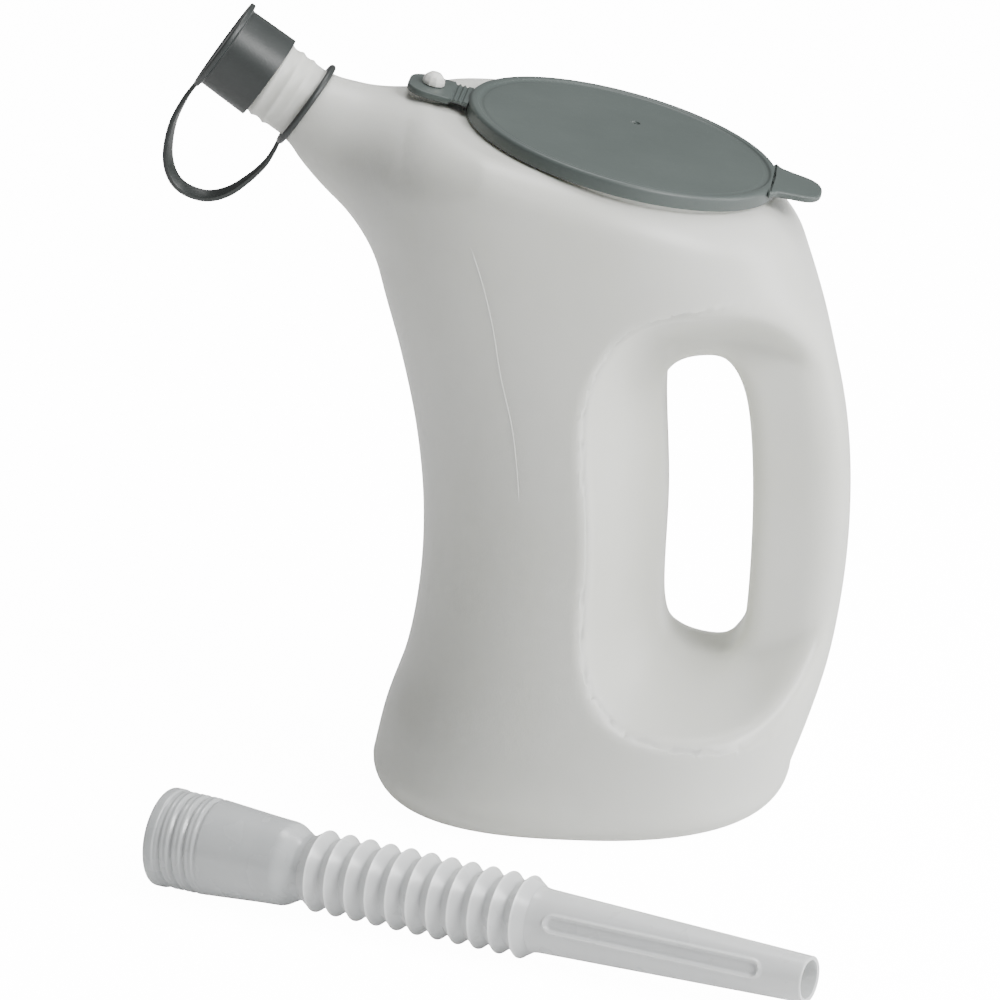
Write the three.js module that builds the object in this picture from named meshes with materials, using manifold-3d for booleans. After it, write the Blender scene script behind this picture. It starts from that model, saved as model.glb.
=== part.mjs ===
// Oil measuring jug: blow-moulded jug with a threaded pouring neck, hinged lid,
// tethered screw cap, and a separate flexible pouring spout that lies beside it.
// Millimetres. +Z is up, +X points to the handle, -X to the pouring neck.
// The origin is the centre of the jug's flat base.
import * as THREE from 'three';
import { mergeVertices } from 'three/addons/utils/BufferGeometryUtils.js';
import Module from 'manifold-3d';

const wasm = await Module();
wasm.setup();

// Jug body
const WALL = 1.8;
const BASE_WALL = 2.2;
const BASE_FILLET = 12;
const RING_POINTS = 36;
const BODY_ROUNDNESS = 2.3;
// front wall and back wall of the jug as x, z in the plane of symmetry
const FRONT_WALL = [[-66, 12], [-62.4, 27], [-55.4, 47], [-51.4, 67], [-49.6, 94], [-51.6, 121],
  [-56.8, 148], [-62, 168], [-66, 186], [-68, 205], [-68, 240]];
const BACK_WALL = [[67, 12], [72.4, 27], [78.4, 47], [82, 67], [84.2, 97], [82.8, 125],
  [78.6, 148], [73.2, 168], [66.8, 188], [61, 206], [54, 240]];
// half width in y against z
const HALF_WIDTH = [[58.5, 12], [58, 27], [57, 47], [56.2, 67], [55.8, 94], [55.6, 130],
  [55.6, 168], [55.6, 205], [55.6, 240]];
const UPRIGHT_LEVELS = [12, 20, 32, 47, 64, 82, 100, 118, 134];
const TILTED_STEPS = 3;
const SHOULDER_FILLET = 12;

// Lid plane: the tilted frame of the lid opening, its origin on the shoulder
const TILT = THREE.MathUtils.degToRad(14.7);
const LID_ORIGIN = new THREE.Vector3(11.3, 0, 209.6);
const OPENING_RADIUS = 44.4;
const COLLAR_RADIUS = 47.1;
const COLLAR_TOP = 3.1;
const COLLAR_ROOT = -5;

// Handle: finger hole and the dished sides around it, as x, z outlines
const HOLE = [[25.8, 62], [26.8, 100], [25.8, 138], [29, 146.4], [39, 148], [48, 145],
  [52.6, 130], [54.2, 100], [52.6, 64], [49, 53], [41.6, 48.6], [31.6, 51]];
const DISH_RIM = [[5.4, 62], [5, 100], [5.4, 142], [18, 167], [43, 174], [68, 170],
  [96, 148], [104, 100], [94, 55], [66, 34], [42, 31.5], [16, 40.5]];
const DISH_MID = [[11, 62], [11, 100], [11, 140], [23, 160], [42, 166], [66, 164],
  [92, 146], [100, 100], [90, 58], [64, 41], [41, 39.5], [19, 47]];
const DISH_LOW = [[21, 62], [22, 100], [21, 140], [28, 152], [40, 156], [62, 158],
  [90, 146], [98, 100], [88, 60], [60, 48], [40, 45.5], [27, 50]];
const DISH_RIM_Y = 66;
const DISH_RIM_SPREAD = 3;
const DISH_EDGE_Y = 50;
const DISH_MID_Y = 36;
const GRIP_HALF_WIDTH = 15;
const OUTLINE_POINTS = 28;

// Pouring neck: its own frame, with +Z out of the mouth
const NECK_RING = new THREE.Vector3(-86.3, 0, 221.9);
const NECK_RISE = THREE.MathUtils.degToRad(36);
const NECK_RADIUS = 12;
const NECK_WALL = 1.9;
const NECK_LENGTH = 29;
const THREAD_HEIGHT = 0.65;
const THREAD_PITCH = 4.2;
const THREAD_TURNS = 3;
const THREAD_START = 5.5;
// sections from the neck down into the body: top point, bottom point, half width
const NECK_SECTIONS = [
  [[-69.5, 229.4], [-83.5, 198.6], 16.8],
  [[-61, 226.8], [-71.5, 188.2], 24.5],
  [[-46, 219], [-56, 178], 34],
  [[-28, 206], [-38, 170], 38],
];
const FLARE_ROUNDNESS = 2.1;
const BORE_OVERRUN = 5;

// Lid
const LID_RADIUS = 49.4;
const SKIRT_INNER = 48.1;
const SKIRT_BOTTOM = 0.7;
const LID_TOP = 5.4;
const PANEL_UNDER = 3.5;
const PANEL_TOP = 4.8;
const RIM_WIDTH = 3;
const TAB_LENGTH = 14;
const TAB_HALF_WIDTH = 13;
const TAB_BOTTOM = 3;
const GATE_DEPTH = 0.6;
const GATE_PLACE = [2, 18.5];

// Lid hinge, anchor strap and stud, placed along the lid plane
const HINGE_U = -52.6;
const HINGE_H = 3.4;
const WEB_HALF_WIDTH = 9;
const WEB_THICKNESS = 0.7;
const WEB_ENDS = [-54.7, -49.8];
const ANCHOR_ENDS = [-68.8, -55];
const ANCHOR_HALF_WIDTH = 10;
const ANCHOR_CORNER = 7;
const ANCHOR_BOTTOM = 2.2;
const ANCHOR_TOP = 4.4;
const STUD_U = -61.2;
const STUD_SHAFT = 2;
const STUD_HEAD = 3.5;
const STUD_DOME = 4.2;
const STUD_TIP = -6.5;
const STUD_BARB = 2.7;
const BOSS_RADIUS = 6;
const BOSS_TOP = 1.9;
const GAP = 0.3;

// Cap, tether ring and strap, in the neck frame
const CAP_EDGE = 14;
const CAP_TOP = 32;
const CAP_INNER = 13.2;
const CAP_RADIUS = 14;
const CAP_FLOOR = 1.6;
const FLANGE_RADIUS = 15.6;
const FLANGE_THICKNESS = 1.8;
const RING_INNER = 12.7;
const RING_SECTION = 1.2;
// the strap's bottom line in the neck frame: distance below the axis, distance out
const STRAP_LINE = [[16.3, 0], [23, -0.9], [30.6, 0.4], [38.5, 3], [44.2, 7.7], [46.8, 14.7],
  [44.9, 20.8], [39.6, 26.1], [30.3, 30], [21.6, 31.4], [16.8, 31.1]];
const STRAP_WIDTH = 4.2;
const STRAP_THICKNESS = 1.7;

// Flexible spout: its own frame, with +Z from the coupling to the tip
const SPOUT_START = new THREE.Vector3(-118.3, -96.5, 15.45);
const SPOUT_YAW = THREE.MathUtils.degToRad(-21.4);
const SPOUT_DIP = THREE.MathUtils.degToRad(1.26);
const COUPLING_BORE = 13.6;
// outside of the coupling as [radius, distance]: rim, three thread ridges, taper, rounded shoulder
const COUPLING_OUTSIDE = [[15.4, 0], [15.4, 2.2], [14.7, 3], [14.7, 5], [15.2, 6], [15.2, 7],
  [14.6, 8], [14.6, 10.4], [15.1, 11.4], [15.1, 12.4], [14.5, 13.4], [14.5, 15.8], [15, 16.8],
  [15, 17.8], [14.4, 19], [13.3, 38], [13, 44.5], [11.6, 46.5], [10.1, 49], [10.1, 50.7]];
// inside of the coupling, from the bellows back to the socket
const COUPLING_INSIDE = [[9.1, 50.7], [9.1, 48.5], [11.5, 43.5], [11.9, 38], [13.1, 24], [13.6, 20]];
const RIDGES = 11;
const RIDGE_PITCH = 6.95;
const FIRST_RIDGE = 54.5;
const RIDGE_RADIUS = 12.7;
const VALLEY_RADIUS = 10.1;
const BELLOWS_WALL = 1;
const NOZZLE_ROOT = 9.8;
const NOZZLE_TIP = 7.1;
const NOZZLE_WALL = 1.4;
const SPOUT_LENGTH = 216.6;
const FLUTE_START = 132;
const FLUTE_END = 203;
const FLUTE_WIDTH = 4;
const FLUTE_DEPTH = 0.7;

const POLYETHYLENE = { color: 0xc9cbc6, roughness: 0.45, metalness: 0 };
const GREY_LID = { color: 0x66706c, roughness: 0.5, metalness: 0 };
const DARK_CAP = { color: 0x3d4543, roughness: 0.5, metalness: 0 };
const CLEAR_SPOUT = { color: 0xc4c8c9, roughness: 0.35, metalness: 0 };
const WHITE_STUD = { color: 0xe6e6e0, roughness: 0.4, metalness: 0 };

// A solid of the joining library from a closed three.js geometry
function solid(geometry) {
  const bare = geometry.clone();
  bare.deleteAttribute('normal');
  bare.deleteAttribute('uv');
  const merged = mergeVertices(bare, 1e-4);
  const mesh = new wasm.Mesh({
    numProp: 3,
    vertProperties: new Float32Array(merged.attributes.position.array),
    triVerts: new Uint32Array(merged.index.array),
  });
  return new wasm.Manifold(mesh);
}

// A three.js geometry from a solid
function geometryOf(body) {
  const mesh = body.getMesh();
  const geometry = new THREE.BufferGeometry();
  geometry.setAttribute('position', new THREE.BufferAttribute(mesh.vertProperties, 3));
  geometry.setIndex(new THREE.BufferAttribute(mesh.triVerts, 1));
  geometry.computeVertexNormals();
  return geometry;
}

function part(name, geometry, look) {
  const mesh = new THREE.Mesh(geometry, new THREE.MeshStandardMaterial(look));
  mesh.name = name;
  return mesh;
}

// Value of a table of [value, level] pairs at a level, through a smooth curve
function along(table, level) {
  const curve = new THREE.SplineCurve(table.map(([value, at]) => new THREE.Vector2(at, value)));
  let low = 0;
  let high = 1;
  for (let step = 0; step < 30; step += 1) {
    const middle = (low + high) / 2;
    if (curve.getPoint(middle).x < level) {
      low = middle;
    } else {
      high = middle;
    }
  }
  return curve.getPoint(low).y;
}

// A rounded section between a front and a back point (x, z) with a half width in y,
// counterclockwise as seen from above
function section(front, back, halfWidth, roundness) {
  const middle = [(front[0] + back[0]) / 2, (front[1] + back[1]) / 2];
  const half = [(back[0] - front[0]) / 2, (back[1] - front[1]) / 2];
  const points = [];
  for (let index = 0; index < RING_POINTS; index += 1) {
    const angle = (2 * Math.PI * index) / RING_POINTS;
    const cosine = Math.cos(angle);
    const sine = Math.sin(angle);
    const u = Math.sign(cosine) * Math.abs(cosine) ** (2 / roundness);
    const v = Math.sign(sine) * Math.abs(sine) ** (2 / roundness);
    points.push(new THREE.Vector3(middle[0] + u * half[0], v * halfWidth, middle[1] + u * half[1]));
  }
  return points;
}

// A closed body through rings of points, the first ring on top: a cylinder whose
// points are moved onto the rings
function loft(rings) {
  const count = rings[0].length;
  const geometry = new THREE.CylinderGeometry(1, 1, 1, count, rings.length - 1);
  const place = geometry.attributes.position;
  const centres = rings.map((ring) => {
    const sum = new THREE.Vector3();
    ring.forEach((point) => sum.add(point));
    return sum.divideScalar(count);
  });
  for (let index = 0; index < place.count; index += 1) {
    const row = Math.round((0.5 - place.getY(index)) * (rings.length - 1));
    const radius = Math.hypot(place.getX(index), place.getZ(index));
    const turn = Math.atan2(place.getX(index), place.getZ(index)) / (2 * Math.PI);
    const column = (Math.round(turn * count) + count) % count;
    const target = radius < 0.5 ? centres[row] : rings[row][column];
    place.setXYZ(index, target.x, target.y, target.z);
  }
  return solid(geometry);
}

// Place of a point of the lid plane: u along the plane, h above the shoulder
function lidPoint(u, h) {
  return new THREE.Vector3(u, 0, h).applyAxisAngle(new THREE.Vector3(0, 1, 0), TILT).add(LID_ORIGIN);
}

// Height of the plane at a distance below the shoulder, at x
function tiltedHeight(x, below) {
  const normalX = Math.sin(TILT);
  const normalZ = Math.cos(TILT);
  const level = LID_ORIGIN.x * normalX + LID_ORIGIN.z * normalZ - below;
  return (level - x * normalX) / normalZ;
}

// Height where a wall curve meets the plane at which the shoulder's rounding starts
function shoulderStart(wall, guess) {
  let x = guess;
  for (let step = 0; step < 6; step += 1) {
    x = wall(tiltedHeight(x, SHOULDER_FILLET));
  }
  return tiltedHeight(x, SHOULDER_FILLET);
}

// The jug's outside, or with an inset the inside of its wall
function bodyForm(inset) {
  const rings = [];
  const floor = inset > 0 ? BASE_WALL : 0;
  const wallFront = (z) => along(FRONT_WALL, z) + inset;
  const wallBack = (z) => along(BACK_WALL, z) - inset;
  const wallWidth = (z) => along(HALF_WIDTH, z) - inset;
  const baseRadius = BASE_FILLET - floor;
  for (const degrees of [90, 65, 40, 18]) {
    const angle = THREE.MathUtils.degToRad(degrees);
    const pulled = baseRadius * (1 - Math.cos(angle));
    const z = BASE_FILLET - baseRadius * Math.sin(angle);
    rings.push(section([wallFront(BASE_FILLET) + pulled, z], [wallBack(BASE_FILLET) - pulled, z],
      wallWidth(BASE_FILLET) - pulled, BODY_ROUNDNESS));
  }
  for (const z of UPRIGHT_LEVELS) {
    rings.push(section([wallFront(z), z], [wallBack(z), z], wallWidth(z), BODY_ROUNDNESS));
  }
  const lastLevel = UPRIGHT_LEVELS[UPRIGHT_LEVELS.length - 1];
  let frontZ = lastLevel;
  let backZ = lastLevel;
  for (let step = 1; step <= TILTED_STEPS; step += 1) {
    const share = step / TILTED_STEPS;
    frontZ = THREE.MathUtils.lerp(lastLevel, shoulderStart(wallFront, -68), share);
    backZ = THREE.MathUtils.lerp(lastLevel, shoulderStart(wallBack, 66), share);
    rings.push(section([wallFront(frontZ), frontZ], [wallBack(backZ), backZ],
      wallWidth((frontZ + backZ) / 2), BODY_ROUNDNESS));
  }
  const topRadius = SHOULDER_FILLET - inset;
  const widest = wallWidth((frontZ + backZ) / 2);
  for (const degrees of [22, 45, 68, 90]) {
    const angle = THREE.MathUtils.degToRad(degrees);
    const pulled = topRadius * (1 - Math.cos(angle));
    const rise = topRadius * Math.sin(angle);
    const inwards = [pulled * Math.cos(TILT), -pulled * Math.sin(TILT)];
    const upwards = [rise * Math.sin(TILT), rise * Math.cos(TILT)];
    const front = [wallFront(frontZ) + inwards[0] + upwards[0], frontZ + inwards[1] + upwards[1]];
    const back = [wallBack(backZ) - inwards[0] + upwards[0], backZ - inwards[1] + upwards[1]];
    rings.push(section(front, back, widest - pulled, BODY_ROUNDNESS));
  }
  return loft(rings.reverse());
}

// The flare that joins the neck to the body, with the same inset
function flareForm(inset) {
  const top = new THREE.Vector3(NECK_RADIUS, 0, 0).applyMatrix4(NECK_FRAME.matrix);
  const bottom = new THREE.Vector3(-NECK_RADIUS, 0, 0).applyMatrix4(NECK_FRAME.matrix);
  const first = [[top.x, top.z], [bottom.x, bottom.z], NECK_RADIUS];
  const rings = [first, ...NECK_SECTIONS].map(([high, low, halfWidth]) => {
    const height = new THREE.Vector2(high[0] - low[0], high[1] - low[1]).setLength(inset);
    return section([low[0] + height.x, low[1] + height.y], [high[0] - height.x, high[1] - height.y],
      halfWidth - inset, FLARE_ROUNDNESS);
  });
  return loft(rings);
}

// A closed outline through named points, grown outwards by an amount
function outline(points, grow) {
  const curve = new THREE.SplineCurve([...points, points[0]].map(([x, z]) => new THREE.Vector2(x, z)));
  const places = curve.getPoints(OUTLINE_POINTS).slice(0, OUTLINE_POINTS);
  return places.map((place, index) => {
    const before = places[(index + OUTLINE_POINTS - 1) % OUTLINE_POINTS];
    const after = places[(index + 1) % OUTLINE_POINTS];
    const tangent = after.clone().sub(before).normalize();
    return new THREE.Vector2(place.x - grow * tangent.y, place.y + grow * tangent.x);
  });
}

// One dish beside the grip, on the side given by sign, grown by an amount
function dishForm(sign, grow) {
  const level = (points, y, spread) => outline(points, grow + spread)
    .map((place) => new THREE.Vector3(place.x, sign * y, place.y));
  const rings = [
    level(DISH_RIM, DISH_RIM_Y, DISH_RIM_SPREAD),
    level(DISH_RIM, DISH_EDGE_Y, 0),
    level(DISH_MID, DISH_MID_Y - grow, 0),
    level(DISH_LOW, GRIP_HALF_WIDTH - grow, 0),
  ];
  return loft(sign > 0 ? rings : rings.map((ring) => ring.slice().reverse()));
}

// The finger hole through the whole width, grown by an amount
function holeForm(grow) {
  const halfLength = DISH_RIM_Y + 4;
  const ring = (y) => outline(HOLE, grow).map((place) => new THREE.Vector3(place.x, y, place.y));
  return loft([ring(halfLength), ring(-halfLength)]);
}

// A disc or cylinder of the lid plane, from h low to h high
function lidCylinder(radius, low, high, u = 0) {
  const geometry = new THREE.CylinderGeometry(radius, radius, high - low, 56);
  geometry.rotateX(Math.PI / 2);
  geometry.translate(u, 0, (low + high) / 2);
  geometry.rotateY(TILT);
  geometry.translate(LID_ORIGIN.x, LID_ORIGIN.y, LID_ORIGIN.z);
  return solid(geometry);
}

// The neck's frame: x up across the neck, z out of the mouth
const NECK_FRAME = new THREE.Object3D();
NECK_FRAME.position.copy(NECK_RING);
NECK_FRAME.rotation.y = -(Math.PI / 2 - NECK_RISE);
NECK_FRAME.updateMatrix();

function neckTube(radius, low, high) {
  const geometry = new THREE.CylinderGeometry(radius, radius, high - low, 36);
  geometry.rotateX(Math.PI / 2);
  geometry.translate(0, 0, (low + high) / 2);
  geometry.applyMatrix4(NECK_FRAME.matrix);
  return solid(geometry);
}

// The raised thread of the neck: a low round ridge along a helix
class Helix extends THREE.Curve {
  getPoint(share, target = new THREE.Vector3()) {
    const angle = share * THREAD_TURNS * 2 * Math.PI;
    const z = THREAD_START + share * THREAD_TURNS * THREAD_PITCH;
    return target.set(NECK_RADIUS * Math.cos(angle), NECK_RADIUS * Math.sin(angle), z);
  }
}

function threadForm() {
  const profile = new THREE.Shape();
  profile.absarc(0, 0, THREAD_HEIGHT, 0, 2 * Math.PI);
  const geometry = new THREE.ExtrudeGeometry(profile, {
    steps: THREAD_TURNS * 20, curveSegments: 3, bevelEnabled: false, extrudePath: new Helix(),
  });
  geometry.applyMatrix4(NECK_FRAME.matrix);
  return solid(geometry);
}

function makeJug() {
  const sides = [-1, 1];
  let outside = bodyForm(0).add(flareForm(0));
  sides.forEach((sign) => {
    outside = outside.subtract(dishForm(sign, 0));
  });
  outside = outside.subtract(holeForm(0));
  outside = outside.add(lidCylinder(COLLAR_RADIUS, COLLAR_ROOT, COLLAR_TOP));
  outside = outside.add(lidCylinder(BOSS_RADIUS, COLLAR_ROOT, BOSS_TOP, STUD_U));
  let inside = bodyForm(WALL).add(flareForm(WALL));
  sides.forEach((sign) => {
    inside = inside.subtract(dishForm(sign, WALL));
  });
  inside = inside.subtract(holeForm(WALL));
  inside = inside.add(neckTube(NECK_RADIUS - NECK_WALL, -BORE_OVERRUN, BORE_OVERRUN));
  const opening = lidCylinder(OPENING_RADIUS, COLLAR_ROOT - 6, COLLAR_TOP + 5);
  const studHole = lidCylinder(STUD_SHAFT + GAP, COLLAR_ROOT - 6, BOSS_TOP + 5, STUD_U);
  const shell = outside.subtract(inside).subtract(opening).subtract(studHole);
  return part('jug_body', geometryOf(shell), POLYETHYLENE);
}

// The threaded neck above the tether ring's seat
function makeNeck() {
  const tube = neckTube(NECK_RADIUS, GAP, NECK_LENGTH).add(threadForm());
  const bore = neckTube(NECK_RADIUS - NECK_WALL, GAP - BORE_OVERRUN, NECK_LENGTH + BORE_OVERRUN);
  return part('jug_neck', geometryOf(tube.subtract(bore)), POLYETHYLENE);
}

// A closed lathe about Z from profile points [radius, z]
function turned(points, segments) {
  const profile = points.map(([radius, z]) => new THREE.Vector2(radius, z));
  const geometry = new THREE.LatheGeometry(profile, segments);
  geometry.rotateX(Math.PI / 2);
  return geometry;
}

function makeLid() {
  const profile = [
    [0, PANEL_UNDER], [SKIRT_INNER - 0.6, PANEL_UNDER], [SKIRT_INNER, PANEL_UNDER - 0.6],
    [SKIRT_INNER, SKIRT_BOTTOM], [LID_RADIUS, SKIRT_BOTTOM], [LID_RADIUS, LID_TOP - 1],
    [LID_RADIUS - 1, LID_TOP], [LID_RADIUS - RIM_WIDTH, LID_TOP],
    [LID_RADIUS - RIM_WIDTH - 0.6, PANEL_TOP], [0, PANEL_TOP],
  ];
  const disc = solid(turned(profile, 56));
  const tabRoot = SKIRT_INNER + 0.4;
  const tabEnd = LID_RADIUS + TAB_LENGTH;
  const shape = new THREE.Shape();
  shape.moveTo(tabRoot, -TAB_HALF_WIDTH - 3);
  shape.quadraticCurveTo(LID_RADIUS + 2, -TAB_HALF_WIDTH, tabEnd - 4, -TAB_HALF_WIDTH + 3);
  shape.quadraticCurveTo(tabEnd, -TAB_HALF_WIDTH + 5, tabEnd, 0);
  shape.quadraticCurveTo(tabEnd, TAB_HALF_WIDTH - 5, tabEnd - 4, TAB_HALF_WIDTH - 3);
  shape.quadraticCurveTo(LID_RADIUS + 2, TAB_HALF_WIDTH, tabRoot, TAB_HALF_WIDTH + 3);
  const tab = new THREE.ExtrudeGeometry(shape, {
    depth: LID_TOP - TAB_BOTTOM, bevelEnabled: false, curveSegments: 5,
  });
  tab.translate(0, 0, TAB_BOTTOM);
  const outsideOnly = solid(tab).subtract(solid(turned([
    [0, TAB_BOTTOM - 1], [SKIRT_INNER + 0.2, TAB_BOTTOM - 1], [SKIRT_INNER + 0.2, LID_TOP + 1],
    [0, LID_TOP + 1]], 56)));
  const gate = new THREE.CylinderGeometry(1.1, 0.7, 2 * GATE_DEPTH, 12);
  gate.rotateX(Math.PI / 2);
  gate.translate(GATE_PLACE[0], GATE_PLACE[1], PANEL_TOP);
  const lid = disc.add(outsideOnly).subtract(solid(gate));
  return part('lid', geometryOf(lid), GREY_LID);
}

function roundedPlate(low, high, halfWidth, radius) {
  const shape = new THREE.Shape();
  shape.moveTo(high, -halfWidth);
  shape.lineTo(high, halfWidth);
  shape.lineTo(low + radius, halfWidth);
  shape.absarc(low + radius, halfWidth - radius, radius, Math.PI / 2, Math.PI);
  shape.absarc(low + radius, -halfWidth + radius, radius, Math.PI, 1.5 * Math.PI);
  return shape;
}

function makeAnchor() {
  const shape = roundedPlate(ANCHOR_ENDS[0], ANCHOR_ENDS[1], ANCHOR_HALF_WIDTH, ANCHOR_CORNER);
  const hole = new THREE.Path();
  hole.absarc(STUD_U, 0, STUD_SHAFT + GAP, 0, 2 * Math.PI);
  shape.holes.push(hole);
  const plate = new THREE.ExtrudeGeometry(shape, {
    depth: ANCHOR_TOP - ANCHOR_BOTTOM, bevelEnabled: false, curveSegments: 8,
  });
  plate.translate(0, 0, ANCHOR_BOTTOM);
  return part('lid_anchor', plate, GREY_LID);
}

function makeWeb() {
  const length = WEB_ENDS[1] - WEB_ENDS[0];
  const web = new THREE.BoxGeometry(length, 2 * WEB_HALF_WIDTH, WEB_THICKNESS, 3, 1, 1);
  web.translate((WEB_ENDS[0] + WEB_ENDS[1]) / 2, 0, HINGE_H);
  return part('lid_hinge', web, GREY_LID);
}

function makeStud() {
  const headFoot = ANCHOR_TOP + GAP;
  const profile = [
    [0, STUD_TIP], [STUD_SHAFT, STUD_TIP], [STUD_BARB, STUD_TIP + 2.4], [STUD_SHAFT, STUD_TIP + 2.6],
    [STUD_SHAFT, headFoot], [STUD_HEAD, headFoot], [STUD_HEAD, headFoot + 1.6],
    [STUD_HEAD * 0.6, headFoot + STUD_DOME - 0.8], [0, headFoot + STUD_DOME],
  ];
  const stud = turned(profile, 12);
  stud.translate(STUD_U, 0, 0);
  return part('lid_stud', stud, WHITE_STUD);
}

function makeCap() {
  const profile = [
    [CAP_INNER, CAP_EDGE], [CAP_RADIUS, CAP_EDGE], [CAP_RADIUS, CAP_TOP - FLANGE_THICKNESS],
    [FLANGE_RADIUS, CAP_TOP - FLANGE_THICKNESS], [FLANGE_RADIUS, CAP_TOP], [0, CAP_TOP],
    [0, CAP_TOP - CAP_FLOOR], [CAP_INNER, CAP_TOP - CAP_FLOOR], [CAP_INNER, CAP_EDGE],
  ];
  return part('cap', turned(profile, 36), DARK_CAP);
}

function makeRing() {
  const radius = RING_INNER + RING_SECTION;
  return part('tether_ring', new THREE.TorusGeometry(radius, RING_SECTION, 8, 40), DARK_CAP);
}

function makeStrap() {
  const points = STRAP_LINE.map(([below, out]) => new THREE.Vector3(-below, 0, out));
  const path = new THREE.CatmullRomCurve3(points);
  const half = STRAP_WIDTH / 2;
  const profile = new THREE.Shape();
  profile.moveTo(-half, -STRAP_THICKNESS / 2);
  profile.lineTo(half, -STRAP_THICKNESS / 2);
  profile.lineTo(half, STRAP_THICKNESS / 2);
  profile.lineTo(-half, STRAP_THICKNESS / 2);
  const strap = new THREE.ExtrudeGeometry(profile, { steps: 28, bevelEnabled: false, extrudePath: path });
  return part('tether_strap', strap, DARK_CAP);
}

function makeCoupling() {
  const mouth = [COUPLING_BORE, 0];
  const profile = [mouth, ...COUPLING_OUTSIDE, ...COUPLING_INSIDE, mouth];
  return part('spout_coupling', turned(profile, 28), CLEAR_SPOUT);
}

function makeBellows() {
  const outer = [];
  const inner = [];
  const start = FIRST_RIDGE - RIDGE_PITCH / 2;
  outer.push([VALLEY_RADIUS, start]);
  inner.push([VALLEY_RADIUS - BELLOWS_WALL, start]);
  for (let ridge = 0; ridge < RIDGES; ridge += 1) {
    const peak = FIRST_RIDGE + ridge * RIDGE_PITCH;
    outer.push([RIDGE_RADIUS, peak - 0.5], [RIDGE_RADIUS, peak + 0.5]);
    outer.push([VALLEY_RADIUS, peak + RIDGE_PITCH / 2]);
    inner.push([RIDGE_RADIUS - 1.3 * BELLOWS_WALL, peak]);
    inner.push([VALLEY_RADIUS - BELLOWS_WALL, peak + RIDGE_PITCH / 2]);
  }
  const profile = [...outer, ...inner.reverse(), outer[0]];
  return part('spout_bellows', turned(profile, 20), CLEAR_SPOUT);
}

function makeNozzle() {
  const start = FIRST_RIDGE + (RIDGES - 0.5) * RIDGE_PITCH + GAP;
  const profile = [
    [VALLEY_RADIUS - BELLOWS_WALL, start], [VALLEY_RADIUS, start], [NOZZLE_ROOT, start + 2],
    [NOZZLE_TIP, SPOUT_LENGTH], [NOZZLE_TIP - NOZZLE_WALL, SPOUT_LENGTH],
    [NOZZLE_ROOT - NOZZLE_WALL, start + 4], [VALLEY_RADIUS - BELLOWS_WALL, start],
  ];
  const tube = solid(turned(profile, 32));
  const flute = new THREE.CapsuleGeometry(FLUTE_WIDTH / 2, FLUTE_END - FLUTE_START - FLUTE_WIDTH, 3, 10);
  flute.rotateX(Math.PI / 2);
  flute.translate(0, 0, (FLUTE_START + FLUTE_END) / 2);
  const slope = Math.atan((NOZZLE_ROOT - NOZZLE_TIP) / (SPOUT_LENGTH - start - 2));
  const middle = (FLUTE_START + FLUTE_END) / 2;
  const surface = NOZZLE_ROOT - (middle - start - 2) * Math.tan(slope);
  flute.translate(0, 0, -middle);
  flute.rotateX(slope);
  flute.translate(0, -surface - FLUTE_WIDTH / 2 + FLUTE_DEPTH, middle);
  return part('spout_nozzle', geometryOf(tube.subtract(solid(flute))), CLEAR_SPOUT);
}

const group = new THREE.Group();

const lidPlane = new THREE.Group();
lidPlane.position.copy(LID_ORIGIN);
lidPlane.rotation.y = TILT;
lidPlane.add(makeLid(), makeAnchor(), makeWeb(), makeStud());

const neckPlane = new THREE.Group();
neckPlane.position.copy(NECK_FRAME.position);
neckPlane.rotation.copy(NECK_FRAME.rotation);
neckPlane.add(makeRing(), makeStrap(), makeCap());

const spoutPlane = new THREE.Group();
spoutPlane.position.copy(SPOUT_START);
spoutPlane.rotation.set(0, Math.PI / 2 + SPOUT_DIP, SPOUT_YAW, 'ZYX');
spoutPlane.add(makeCoupling(), makeBellows(), makeNozzle());

group.add(makeJug(), makeNeck(), lidPlane, neckPlane, spoutPlane);

export default group;
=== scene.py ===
"""Oil measuring jug with hinged lid, tethered cap and loose flexible spout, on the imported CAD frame."""
import math
import bmesh
import bpy
import numpy as np
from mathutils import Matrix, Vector


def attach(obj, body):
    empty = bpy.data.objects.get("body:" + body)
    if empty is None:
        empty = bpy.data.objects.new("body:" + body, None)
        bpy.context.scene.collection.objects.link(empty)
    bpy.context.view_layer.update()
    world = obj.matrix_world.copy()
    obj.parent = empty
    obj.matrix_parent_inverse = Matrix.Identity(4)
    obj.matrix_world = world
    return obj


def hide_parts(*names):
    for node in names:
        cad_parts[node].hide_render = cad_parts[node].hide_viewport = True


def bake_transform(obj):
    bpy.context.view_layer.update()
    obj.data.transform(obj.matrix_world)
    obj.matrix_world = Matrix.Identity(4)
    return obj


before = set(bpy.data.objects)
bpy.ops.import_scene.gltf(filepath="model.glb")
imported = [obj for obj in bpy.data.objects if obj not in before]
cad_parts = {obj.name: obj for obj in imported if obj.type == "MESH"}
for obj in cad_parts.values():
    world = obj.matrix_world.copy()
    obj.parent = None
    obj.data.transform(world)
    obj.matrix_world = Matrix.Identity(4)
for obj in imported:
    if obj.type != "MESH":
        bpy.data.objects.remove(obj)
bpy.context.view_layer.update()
MM = 0.001

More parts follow.
